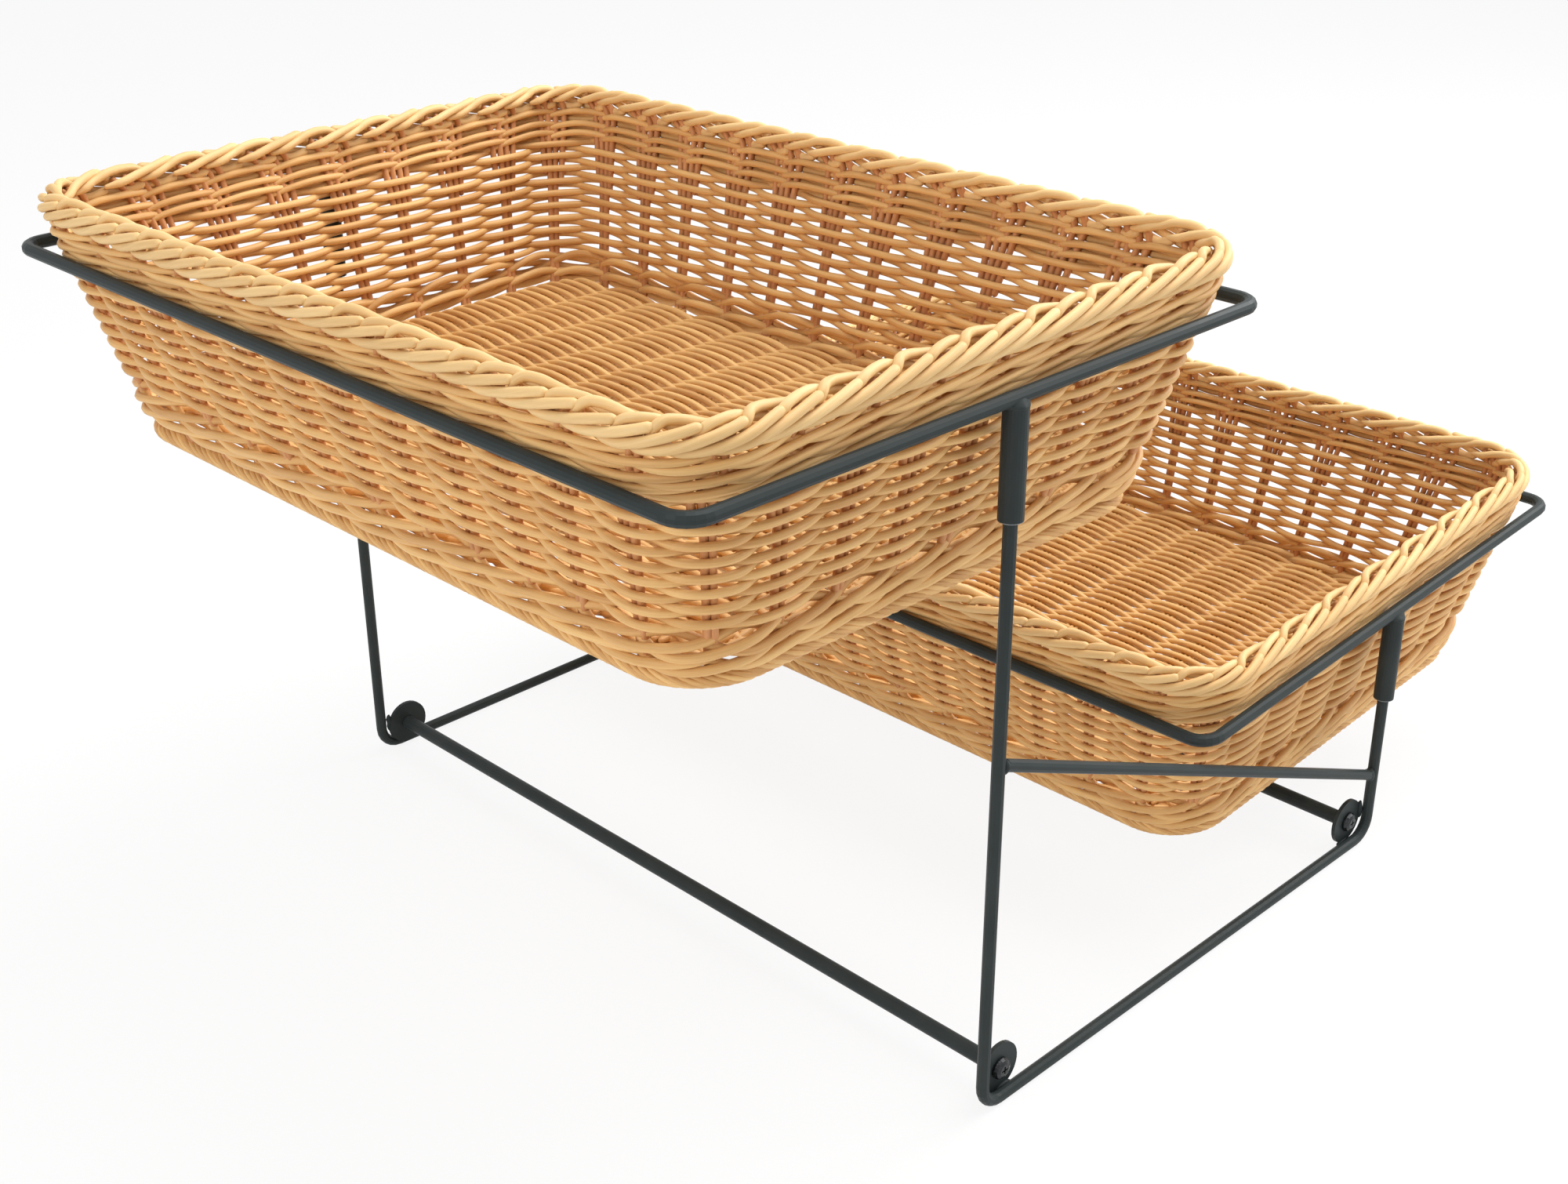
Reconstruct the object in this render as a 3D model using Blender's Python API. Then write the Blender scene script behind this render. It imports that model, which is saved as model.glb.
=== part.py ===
"""Two-tier display stand: two bent wire side frames tied by cross bars, two
lift-off wire holders on the frames' uprights, and a woven basket in each holder.

Metres, +Z up. The stand faces -Y, with the low tier in front and the tall tier
behind. The origin is on the floor, in the middle of the stand's outline.
"""

import math

import bmesh
import bpy
from mathutils import Matrix, Vector

# Clearance between two pieces that touch on the real stand
GAP = 0.0003

# Side frames, each one wire bent into a tall upright, a runner and a short upright
FRAME_WIRE = 0.006
UPRIGHT_SPACING = 0.338
BEND_RADIUS = 0.012
BRACE_WIRE = 0.0058
BRACE_HEIGHT_TALL = 0.188
BRACE_HEIGHT_LOW = 0.041

# Cross bars, with the welded discs and the screws that hold them
CROSS_BAR = 0.008
DISC_DIAMETER = 0.026
DISC_THICKNESS = 0.002
DISC_INSET = 0.016
DISC_RISE = 0.013
SCREW_SHANK = 0.0048
SCREW_LENGTH = 0.014
SCREW_HEAD = 0.011
SCREW_HEAD_HEIGHT = 0.0032
SCREW_TIP_CHAMFER = 0.0006
HEAD_EDGE_SHARE = 0.3
HEAD_SHOULDER_SHARES = (0.86, 0.75)
HEAD_TOP_SHARE = 0.55
RECESS_SPAN = 0.0058
RECESS_BLADE = 0.0012
RECESS_DEPTH = 0.0018
RECESS_TAPER = 0.45

# Holders, each a wire rectangle on two sleeves that slip over the uprights
HOLDER_WIRE = 0.0064
HOLDER_LENGTH = 0.480
HOLDER_DEPTH = 0.346
HOLDER_CORNER = 0.011
HOLDER_SETBACK = 0.003
SLEEVE_OUTER = 0.0110
SLEEVE_BORE = 0.0068
SLEEVE_LENGTH = 0.049
TALL_HEIGHT = 0.355
LOW_HEIGHT = 0.1435
LOW_LEAN = math.radians(-4)

# Baskets, wedged in the holders by their taper, with heights from the holder's wire
BASKET_BELOW = 0.094
BASKET_ABOVE = 0.031
BASKET_TAPER = math.radians(14.5)
BASKET_WALL = 0.0096
BASKET_END_PLAY = 0.0013
RIM_CORNER = 0.040
BASE_CORNER = 0.036
RIM_WIDTH = 0.015
RIM_HEIGHT = 0.015
FOOT_WIDTH = 0.009
FOOT_HEIGHT = 0.008
FLOOR_THICKNESS = 0.007
FLOOR_RISE = 0.0155

# Weave of the walls. Bundles of stakes stand this far apart along the straight
# sides at the holder's wire, and at these shares of each corner, and the wall
# draws in between them. Rows of waling run round under the rim and over the foot.
LONG_BUNDLE_PITCH = 0.0378
SHORT_BUNDLE_PITCH = 0.0356
CORNER_BUNDLE_SHARES = (0.20, 0.80)
FLUTE_DEPTH = 0.0030
UPPER_WALING_ROWS = 2
UPPER_WALING_PITCH = 0.0058
LOWER_WALING_ROWS = 3
LOWER_WALING_PITCH = 0.0070
WALING_GROOVE = 0.0014

# Facets: wires and turned pieces have flats that touch the true circle
WIRE_SIDES = 12
TURNED_SIDES = 24
SCREW_SIDES = 16
BAR_SIDES = 16
DISC_SIDES = 32
BEND_STEPS = 6
CORNER_STEPS = 6
OCTAGON_CHAMFER_SHARE = 1 / (2 + math.sqrt(2))
SMOOTH_ANGLE = math.radians(40)


def flat_sided(diameter, sides=WIRE_SIDES):
    """Radius of the corners of a round section whose flats touch the diameter."""
    return diameter / 2 / math.cos(math.pi / sides)


# Places that follow from the sizes above
FRAME_X = HOLDER_LENGTH / 2
RUNNER_Z = FRAME_WIRE / 2
DISC_Z = RUNNER_Z + DISC_RISE
DISC_OUTER_X = FRAME_X - FRAME_WIRE / 2 - GAP
DISC_INNER_X = DISC_OUTER_X - DISC_THICKNESS
BAR_END_X = DISC_INNER_X - GAP
SCREW_HOLE = SCREW_SHANK + 2 * GAP
SCREW_BORE_DEPTH = SCREW_LENGTH - GAP - DISC_THICKNESS
WALL_TOP = BASKET_ABOVE - RIM_HEIGHT - GAP
WALL_BOTTOM = -BASKET_BELOW + FOOT_HEIGHT + GAP
SEAT_PLAY = (flat_sided(HOLDER_WIRE) + GAP) / math.cos(BASKET_TAPER)


def clear_scene():
    for obj in list(bpy.data.objects):
        bpy.data.objects.remove(obj, do_unlink=True)


def make_material(name, colour, roughness, metallic=0):
    material = bpy.data.materials.new(name)
    material.use_nodes = True
    shader = material.node_tree.nodes["Principled BSDF"]
    shader.inputs["Base Color"].default_value = (*colour, 1)
    shader.inputs["Roughness"].default_value = roughness
    shader.inputs["Metallic"].default_value = metallic
    return material


def add_object(name, bm, material, parent):
    """Turn a bmesh into a smooth-shaded object that hangs on a parent."""
    bmesh.ops.recalc_face_normals(bm, faces=bm.faces)
    mesh = bpy.data.meshes.new(name)
    bm.to_mesh(mesh)
    bm.free()
    mesh.shade_smooth()
    mesh.set_sharp_from_angle(angle=SMOOTH_ANGLE)
    mesh.materials.append(material)
    obj = bpy.data.objects.new(name, mesh)
    bpy.context.collection.objects.link(obj)
    obj.parent = parent
    return obj


def add_empty(name, location=(0, 0, 0), lean=0, parent=None):
    empty = bpy.data.objects.new(name, None)
    bpy.context.collection.objects.link(empty)
    empty.location = location
    empty.rotation_euler.x = lean
    empty.parent = parent
    return empty


def skin_loops(bm, loops, closed):
    """Join rings of equal count with quads, and cap the ends of an open run."""
    pairs = list(zip(loops, loops[1:] + loops[:1] if closed else loops[1:]))
    for near, far in pairs:
        for i in range(len(near)):
            j = (i + 1) % len(near)
            bm.faces.new((near[i], near[j], far[j], far[i]))
    if not closed:
        bm.faces.new(loops[0])
        bm.faces.new(loops[-1])


def wire_route(start, heading, turn_axis, moves):
    """Follow straight lengths and (radius, angle) bends, as a wire bender does.

    Gives (point, heading) at each end of a straight length and along each bend.
    """
    point = Vector(start)
    heading = Vector(heading).normalized()
    axis = Vector(turn_axis).normalized()
    route = [(point.copy(), heading.copy())]
    for move in moves:
        if isinstance(move, tuple):
            radius, angle = move
            centre = point + axis.cross(heading) * math.copysign(radius, angle)
            step = Matrix.Rotation(angle / BEND_STEPS, 3, axis)
            for _ in range(BEND_STEPS):
                point = centre + step @ (point - centre)
                heading = step @ heading
                route.append((point.copy(), heading.copy()))
        else:
            point = point + heading * move
            route.append((point.copy(), heading.copy()))
    return route


def wire_mesh(route, flat_axis, diameter, closed=False):
    """Round wire along a flat route, with a flat on each side of the flat axis."""
    bm = bmesh.new()
    side = Vector(flat_axis).normalized()
    radius = flat_sided(diameter)
    loops = []
    for point, heading in route[:-1] if closed else route:
        out = heading.cross(side)
        ring = []
        for k in range(WIRE_SIDES):
            angle = (k + 0.5) * math.tau / WIRE_SIDES
            offset = side * math.cos(angle) + out * math.sin(angle)
            ring.append(bm.verts.new(point + offset * radius))
        loops.append(ring)
    skin_loops(bm, loops, closed)
    return bm


def turned_mesh(profile, sides):
    """Turn (radius, height) points about Z; the profile starts and ends on the
    axis, or goes round a bore and meets itself."""
    bm = bmesh.new()
    rings = []
    for radius, height in profile:
        if radius == 0:
            rings.append([bm.verts.new((0, 0, height))])
            continue
        corner = flat_sided(2 * radius, sides)
        ring = []
        for k in range(sides):
            angle = (k + 0.5) * math.tau / sides
            ring.append(bm.verts.new((corner * math.cos(angle), corner * math.sin(angle), height)))
        rings.append(ring)
    has_bore = profile[0][0] > 0
    for near, far in zip(rings, rings[1:] + rings[:1] if has_bore else rings[1:]):
        for i in range(sides):
            j = (i + 1) % sides
            corners = [near[i % len(near)], near[j % len(near)], far[j % len(far)], far[i % len(far)]]
            bm.faces.new(list(dict.fromkeys(corners)))
    return bm


def rounded_rectangle(half_x, half_y, radius, height):
    """Points of a rectangle with round corners, anticlockwise from +X."""
    points = []
    for quarter in range(4):
        sign_x = 1 if quarter in (0, 3) else -1
        sign_y = 1 if quarter in (0, 1) else -1
        for step in range(CORNER_STEPS + 1):
            angle = (quarter + step / CORNER_STEPS) * math.pi / 2
            points.append(
                (
                    sign_x * (half_x - radius) + radius * math.cos(angle),
                    sign_y * (half_y - radius) + radius * math.sin(angle),
                    height,
                )
            )
    return points


def basket_size(at):
    """Half length, half depth and corner radius at a height above the holder's wire."""
    spread = math.tan(BASKET_TAPER) * at
    half_x = HOLDER_LENGTH / 2 - SEAT_PLAY - BASKET_END_PLAY + spread
    half_y = HOLDER_DEPTH / 2 - SEAT_PLAY + spread
    rise = (at + BASKET_BELOW) / (BASKET_ABOVE + BASKET_BELOW)
    return half_x, half_y, BASE_CORNER + (RIM_CORNER - BASE_CORNER) * rise


def basket_outline(bm, height, inset=0.0, tapered_at=None):
    """The basket's outline at a height above its holder's wire, moved inwards.

    Pieces with upright sides take their size from the wall at tapered_at.
    """
    half_x, half_y, corner = basket_size(height if tapered_at is None else tapered_at)
    points = rounded_rectangle(half_x - inset, half_y - inset, corner - inset, height)
    return [bm.verts.new(p) for p in points]


def bundle_shares(straight, pitch):
    """Shares of a straight side at which its bundles stand, centred along it."""
    count = int(straight / pitch + 0.5)
    return [0.5 + (k - (count - 1) / 2) * pitch / straight for k in range(count)]


def bundle_marks():
    """Each bundle and the middle of the gap after it, as a run and a share of it.

    Runs 0, 2, 4 and 6 are the straight sides, anticlockwise from the right one,
    and runs 1, 3, 5 and 7 the corners after them.
    """
    half_x, half_y, corner = basket_size(0)
    arc = corner * math.pi / 2
    depth, length = 2 * (half_y - corner), 2 * (half_x - corner)
    sides = [
        (depth, bundle_shares(depth, SHORT_BUNDLE_PITCH)),
        (arc, CORNER_BUNDLE_SHARES),
        (length, bundle_shares(length, LONG_BUNDLE_PITCH)),
        (arc, CORNER_BUNDLE_SHARES),
    ] * 2
    starts = [sum(run for run, _ in sides[:k]) for k in range(len(sides) + 1)]
    bundles = [starts[k] + run * share for k, (run, shares) in enumerate(sides) for share in shares]
    marks = []
    for place, after in zip(bundles, bundles[1:] + [bundles[0] + starts[-1]]):
        marks += [place, (place + after) / 2]
    located = []
    for place in marks:
        place %= starts[-1]
        run = max(k for k in range(len(sides)) if starts[k] <= place)
        located.append((run, (place - starts[run]) / sides[run][0]))
    return located


def woven_outline(bm, height, inset, flute):
    """The wall's outline through the bundle marks, drawn in further between bundles."""
    half_x, half_y, corner = basket_size(height)
    centre_x, centre_y = half_x - corner, half_y - corner
    points = []
    for mark, (run, share) in enumerate(bundle_marks()):
        radius = corner - inset - (flute if mark % 2 else 0)
        along = 2 * share - 1 if run % 2 == 0 else 1
        angle = (run // 2 + (share if run % 2 else 0)) * math.pi / 2
        side_x, side_y = [
            (centre_x, centre_y * along),
            (-centre_x * along, centre_y),
            (-centre_x, -centre_y * along),
            (centre_x * along, -centre_y),
        ][run // 2]
        if run % 2:
            side_x = math.copysign(centre_x, math.cos((run // 2 + 0.5) * math.pi / 2))
            side_y = math.copysign(centre_y, math.sin((run // 2 + 0.5) * math.pi / 2))
        points.append((side_x + radius * math.cos(angle), side_y + radius * math.sin(angle), height))
    return [bm.verts.new(p) for p in points]


def band_mesh(bottom, top, width, tapered_at):
    """A rolled border round the basket: an eight-sided section, outside upright."""
    bm = bmesh.new()
    chamfer = OCTAGON_CHAMFER_SHARE * min(top - bottom, width)
    section = [
        (0, bottom + chamfer),
        (0, top - chamfer),
        (chamfer, top),
        (width - chamfer, top),
        (width, top - chamfer),
        (width, bottom + chamfer),
        (width - chamfer, bottom),
        (chamfer, bottom),
    ]
    loops = [basket_outline(bm, height, inset, tapered_at) for inset, height in section]
    skin_loops(bm, loops, closed=True)
    return bm


def waling_rows(start, rows, pitch):
    """Heights and insets up the rows of a waling: a groove under each row, then its crest."""
    steps = []
    for row in range(rows):
        steps.append((start + row * pitch, WALING_GROOVE, 0))
        steps.append((start + (row + 0.5) * pitch, 0, 0))
    return steps


def wall_mesh():
    """The woven wall: a tapering tube, open at the top and at the bottom.

    Its section goes up the outside, over the walings and the fluted weave between
    them, and down the inside. Each step is a height, an inset and a flute depth.
    """
    weave_bottom = WALL_BOTTOM + LOWER_WALING_ROWS * LOWER_WALING_PITCH
    weave_top = WALL_TOP - UPPER_WALING_ROWS * UPPER_WALING_PITCH
    outside = waling_rows(WALL_BOTTOM, LOWER_WALING_ROWS, LOWER_WALING_PITCH)
    outside += [(weave_bottom, 0, FLUTE_DEPTH), (weave_top, 0, FLUTE_DEPTH)]
    upper_rows = waling_rows(weave_top, UPPER_WALING_ROWS, UPPER_WALING_PITCH)
    outside += upper_rows[1:] + [(WALL_TOP, WALING_GROOVE, 0)]
    inside = [
        (WALL_TOP, BASKET_WALL, 0),
        (weave_top, BASKET_WALL, -FLUTE_DEPTH),
        (weave_bottom, BASKET_WALL, -FLUTE_DEPTH),
        (WALL_BOTTOM, BASKET_WALL, 0),
    ]
    bm = bmesh.new()
    loops = [woven_outline(bm, height, inset, flute) for height, inset, flute in outside + inside]
    skin_loops(bm, loops, closed=True)
    return bm


def floor_mesh():
    """The woven floor: a flat plate across the wall's inside, raised over the foot."""
    bm = bmesh.new()
    bottom = -BASKET_BELOW + FLOOR_RISE
    heights = (bottom, bottom + FLOOR_THICKNESS)
    loops = [woven_outline(bm, height, BASKET_WALL + GAP, 0) for height in heights]
    skin_loops(bm, loops, closed=False)
    return bm


def add_basket(tier, place, material):
    rim_line = BASKET_ABOVE - RIM_HEIGHT / 2
    foot_line = -BASKET_BELOW + FOOT_HEIGHT / 2
    rim = band_mesh(BASKET_ABOVE - RIM_HEIGHT, BASKET_ABOVE, RIM_WIDTH, rim_line)
    foot = band_mesh(-BASKET_BELOW, -BASKET_BELOW + FOOT_HEIGHT, FOOT_WIDTH, foot_line)
    add_object(f"{tier}_basket_rim", rim, material, place)
    add_object(f"{tier}_basket_wall", wall_mesh(), material, place)
    add_object(f"{tier}_basket_floor", floor_mesh(), material, place)
    add_object(f"{tier}_basket_foot", foot, material, place)


def under_holder(height, lean, radius):
    """Height that a round piece of this radius reaches below the holder's wire."""
    wire_middle = height - math.tan(lean) * HOLDER_SETBACK
    slope = abs(math.tan(lean)) * radius
    return wire_middle - flat_sided(HOLDER_WIRE) / math.cos(lean) - slope - GAP


def add_holder(tier, place, material):
    """The wire rectangle, round from the middle of its rear side."""
    long_run = HOLDER_LENGTH - 2 * HOLDER_CORNER
    short_run = HOLDER_DEPTH - 2 * HOLDER_CORNER
    bend = (HOLDER_CORNER, math.pi / 2)
    moves = [long_run / 2, bend, short_run, bend, long_run, bend, short_run, bend, long_run / 2]
    route = wire_route((0, HOLDER_DEPTH / 2, 0), (-1, 0, 0), (0, 0, 1), moves)
    add_object(f"{tier}_holder_wire", wire_mesh(route, (0, 0, 1), HOLDER_WIRE, True), material, place)


def add_sleeve(name, x, upright_y, top, parent, material):
    outer, bore = SLEEVE_OUTER / 2, SLEEVE_BORE / 2
    profile = [(outer, -SLEEVE_LENGTH), (outer, 0), (bore, 0), (bore, -SLEEVE_LENGTH)]
    sleeve = add_object(name, turned_mesh(profile, TURNED_SIDES), material, parent)
    sleeve.location = (x, upright_y, top)


def add_tier(tier, upright_y, height, lean, root, coat, cane):
    """A holder on its two sleeves, and the basket in it."""
    middle = (0, upright_y + HOLDER_SETBACK, height)
    add_holder(tier, add_empty(f"{tier}_holder", middle, lean, root), coat)
    add_basket(tier, add_empty(f"{tier}_basket", middle, lean, root), cane)
    sleeve_top = under_holder(height, lean, flat_sided(SLEEVE_OUTER, TURNED_SIDES))
    for side, x in (("left", -FRAME_X), ("right", FRAME_X)):
        add_sleeve(f"{tier}_{side}_sleeve", x, upright_y, sleeve_top, root, coat)


def add_side_frame(side, x, root, coat):
    """One bent wire, from the top of the tall upright to the top of the short one."""
    reach = flat_sided(FRAME_WIRE)
    tall_top = under_holder(TALL_HEIGHT, 0, reach)
    low_top = under_holder(LOW_HEIGHT, LOW_LEAN, reach)
    bend = (BEND_RADIUS, -math.pi / 2)
    moves = [
        tall_top - RUNNER_Z - BEND_RADIUS,
        bend,
        UPRIGHT_SPACING - 2 * BEND_RADIUS,
        bend,
        low_top - RUNNER_Z - BEND_RADIUS,
    ]
    route = wire_route((x, 0, tall_top), (0, 0, -1), (1, 0, 0), moves)
    add_object(f"{side}_side_wire", wire_mesh(route, (1, 0, 0), FRAME_WIRE), coat, root)


def add_brace(side, x, root, coat):
    """A straight wire, cut square at both ends, between the two uprights."""
    tall_end = Vector((x, 0, BRACE_HEIGHT_TALL))
    low_end = Vector((x, -UPRIGHT_SPACING, BRACE_HEIGHT_LOW))
    along = (low_end - tall_end).normalized()
    setback = (flat_sided(FRAME_WIRE) + GAP + flat_sided(BRACE_WIRE) * abs(along.z)) / abs(along.y)
    start = tall_end + along * setback
    length = (low_end - tall_end).length - 2 * setback
    route = wire_route(start, along, (1, 0, 0), [length])
    add_object(f"{side}_brace", wire_mesh(route, (1, 0, 0), BRACE_WIRE), coat, root)


def add_recess_cutter(name, screw):
    """A cross of two tapering blades, which cuts the driver's recess."""
    bm = bmesh.new()
    for turn in (0, math.pi / 2):
        blade = bmesh.ops.create_cube(bm, size=1)["verts"]
        size = Matrix.Diagonal((RECESS_SPAN, RECESS_BLADE, 2 * RECESS_DEPTH, 1))
        bmesh.ops.transform(bm, matrix=Matrix.Rotation(turn, 4, "Z") @ size, verts=blade)
        for vert in blade:
            if vert.co.z < 0:
                vert.co.x *= RECESS_TAPER
                vert.co.y *= RECESS_TAPER
    cutter = add_object(name, bm, screw.data.materials[0], screw)
    cutter.location.z = SCREW_HEAD_HEIGHT
    cutter.hide_render = True
    cutter.display_type = "WIRE"
    return cutter


def add_screw(name, place, material):
    """A pan head screw with its head's flat side at the place's origin."""
    head, shank = SCREW_HEAD / 2, SCREW_SHANK / 2
    shoulder_out, shoulder_up = HEAD_SHOULDER_SHARES
    profile = [
        (0, -SCREW_LENGTH),
        (shank - SCREW_TIP_CHAMFER, -SCREW_LENGTH),
        (shank, -SCREW_LENGTH + SCREW_TIP_CHAMFER),
        (shank, 0),
        (head, 0),
        (head, HEAD_EDGE_SHARE * SCREW_HEAD_HEIGHT),
        (shoulder_out * head, shoulder_up * SCREW_HEAD_HEIGHT),
        (HEAD_TOP_SHARE * head, SCREW_HEAD_HEIGHT),
        (0, SCREW_HEAD_HEIGHT),
    ]
    screw = add_object(name, turned_mesh(profile, SCREW_SIDES), material, place)
    recess = screw.modifiers.new("recess", "BOOLEAN")
    recess.object = add_recess_cutter(f"{name}_recess", screw)
    recess.operation = "DIFFERENCE"
    recess.use_self = True


def add_corner_fixing(name, side_sign, bar_y, root, coat, screw_black):
    """A disc inside a frame's lower bend, with the screw that goes through it."""
    place = add_empty(f"{name}_fixing", (side_sign * DISC_OUTER_X, bar_y, DISC_Z), 0, root)
    place.rotation_euler = (0, side_sign * math.pi / 2, 0)
    edge, hole = DISC_DIAMETER / 2, SCREW_HOLE / 2
    profile = [(edge, -DISC_THICKNESS), (edge, 0), (hole, 0), (hole, -DISC_THICKNESS)]
    add_object(f"{name}_disc", turned_mesh(profile, DISC_SIDES), coat, place)
    seat = add_empty(f"{name}_screw_seat", (0, 0, GAP), 0, place)
    add_screw(f"{name}_screw", seat, screw_black)


def add_cross_bar(name, bar_y, root, coat):
    """A round bar between the discs, with a blind screw hole in each end."""
    hole = SCREW_HOLE / 2
    bottom = BAR_END_X - SCREW_BORE_DEPTH
    profile = [
        (0, -bottom),
        (hole, -bottom),
        (hole, -BAR_END_X),
        (CROSS_BAR / 2, -BAR_END_X),
        (CROSS_BAR / 2, BAR_END_X),
        (hole, BAR_END_X),
        (hole, bottom),
        (0, bottom),
    ]
    bar = add_object(name, turned_mesh(profile, BAR_SIDES), coat, root)
    bar.location = (0, bar_y, DISC_Z)
    bar.rotation_euler = (0, math.pi / 2, 0)


def centre_on_floor(root):
    """Move the stand so that its outline is centred on the origin, on z = 0."""
    bpy.context.view_layer.update()
    points = [
        obj.matrix_world @ vert.co
        for obj in bpy.data.objects
        if obj.type == "MESH" and not obj.hide_render
        for vert in obj.data.vertices
    ]
    lowest = [min(point[axis] for point in points) for axis in range(3)]
    highest = [max(point[axis] for point in points) for axis in range(3)]
    root.location = (
        -(lowest[0] + highest[0]) / 2,
        -(lowest[1] + highest[1]) / 2,
        -lowest[2],
    )
    bpy.context.view_layer.update()


def build_stand():
    clear_scene()
    coat = make_material("black_powder_coat", (0.035, 0.04, 0.042), 0.45)
    screw_black = make_material("black_screw", (0.06, 0.065, 0.07), 0.2, 0.8)
    cane = make_material("woven_cane", (0.73, 0.42, 0.16), 0.5)
    root = add_empty("stand")
    for side, sign in (("left", -1), ("right", 1)):
        add_side_frame(side, sign * FRAME_X, root, coat)
        add_brace(side, sign * FRAME_X, root, coat)
    bars = {"rear": -DISC_INSET, "front": -UPRIGHT_SPACING + DISC_INSET}
    for end, bar_y in bars.items():
        add_cross_bar(f"{end}_cross_bar", bar_y, root, coat)
        for side, sign in (("left", -1), ("right", 1)):
            add_corner_fixing(f"{end}_{side}", sign, bar_y, root, coat, screw_black)
    add_tier("upper", 0, TALL_HEIGHT, 0, root, coat, cane)
    add_tier("lower", -UPRIGHT_SPACING, LOW_HEIGHT, LOW_LEAN, root, coat, cane)
    centre_on_floor(root)


build_stand()
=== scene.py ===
import math

import bpy
import numpy as np
from mathutils import Matrix, Vector


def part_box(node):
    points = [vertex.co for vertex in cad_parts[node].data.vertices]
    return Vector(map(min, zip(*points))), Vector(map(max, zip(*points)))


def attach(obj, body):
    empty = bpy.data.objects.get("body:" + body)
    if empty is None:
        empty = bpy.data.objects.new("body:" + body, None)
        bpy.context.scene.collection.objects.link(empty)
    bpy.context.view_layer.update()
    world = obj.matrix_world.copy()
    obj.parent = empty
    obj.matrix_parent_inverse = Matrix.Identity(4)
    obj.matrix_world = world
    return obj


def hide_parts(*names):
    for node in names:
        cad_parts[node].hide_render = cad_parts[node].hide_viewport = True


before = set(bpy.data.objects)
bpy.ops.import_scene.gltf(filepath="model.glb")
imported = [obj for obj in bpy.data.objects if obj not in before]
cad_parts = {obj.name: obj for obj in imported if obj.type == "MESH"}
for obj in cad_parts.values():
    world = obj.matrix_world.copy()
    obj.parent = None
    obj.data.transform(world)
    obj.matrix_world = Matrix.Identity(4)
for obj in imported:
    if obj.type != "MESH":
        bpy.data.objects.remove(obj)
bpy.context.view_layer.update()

# Side wires and braces. Each side is one 6 mm steel wire bent into a tall
# upright, a runner and a short upright, with a sloping brace wire welded
# between the uprights. All of it is powder coated in satin black.
COAT_COLOUR = (0.026, 0.033, 0.034)
COAT_WORN_COLOUR = (0.044, 0.053, 0.052)
COAT_PEEL_PER_METRE = 900
COAT_PEEL_HEIGHT = 0.00006
COAT_CLOUDS_PER_METRE = 45
COAT_ROUGHNESS = (0.30, 0.45)


def new_material(name):
    """A material with its shader, and a call that adds a node and links what feeds it."""
    material = bpy.data.materials.new(name)
    material.use_nodes = True
    tree = material.node_tree
    shader = tree.nodes["Principled BSDF"]

    def node(kind, settings=None, **feeds):
        made = tree.nodes.new(kind)
        for key, value in (settings or {}).items():
            setattr(made, key, value)
        for key, value in feeds.items():
            socket = made.inputs[int(key[1:])] if key[1:].isdigit() else made.inputs[key]
            if isinstance(value, bpy.types.NodeSocket):
                tree.links.new(value, socket)
            else:
                socket.default_value = value
        return made

    return material, tree, shader, node


def coat_material():
    """Powder coat: clouded dark grey with the faint orange peel of baked powder."""
    material, tree, shader, node = new_material("satin_powder_coat")
    place = node("ShaderNodeTexCoord").outputs["Object"]
    peel = node("ShaderNodeTexNoise", Vector=place, Scale=COAT_PEEL_PER_METRE, Detail=2.0)
    clouds = node("ShaderNodeTexNoise", Vector=place, Scale=COAT_CLOUDS_PER_METRE, Detail=3.0)
    tint = node("ShaderNodeMix", {"data_type": "RGBA"}, _0=clouds.outputs["Fac"],
                _6=(*COAT_COLOUR, 1), _7=(*COAT_WORN_COLOUR, 1))
    gloss = node("ShaderNodeMapRange", Value=clouds.outputs["Fac"])
    gloss.inputs["To Min"].default_value = COAT_ROUGHNESS[0]
    gloss.inputs["To Max"].default_value = COAT_ROUGHNESS[1]
    bump = node("ShaderNodeBump", Strength=0.25, Distance=COAT_PEEL_HEIGHT,
                Height=peel.outputs["Fac"])
    tree.links.new(tint.outputs[2], shader.inputs["Base Color"])
    tree.links.new(gloss.outputs[0], shader.inputs["Roughness"])
    tree.links.new(bump.outputs[0], shader.inputs["Normal"])
    shader.inputs["Specular IOR Level"].default_value = 0.08
    return material


powder_coat = coat_material()


def finish_nodes(material, *names):
    """CAD nodes that keep their shape and take a better finish."""
    for name in names:
        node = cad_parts[name]
        for slot in node.material_slots:
            slot.material = material


finish_nodes(powder_coat, "left_side_wire", "right_side_wire", "left_brace", "right_brace")

BRACE_ENDS = {"tall": (0.16582, 0.188), "low": (-0.17218, 0.041)}
BRACE_FILLET = ((-0.0008, 0.0022, 0.0044), (0.0002, 0.0029, 0.0048), (0.0009, 0.0031, 0.0040),
                (0.0017, 0.0031, 0.0034), (0.0026, 0.0028, 0.0029))
WIRE_RADIUS = 0.003
WELD_SIDES = 20
WELD_ROUGHNESS = 0.00018


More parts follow.
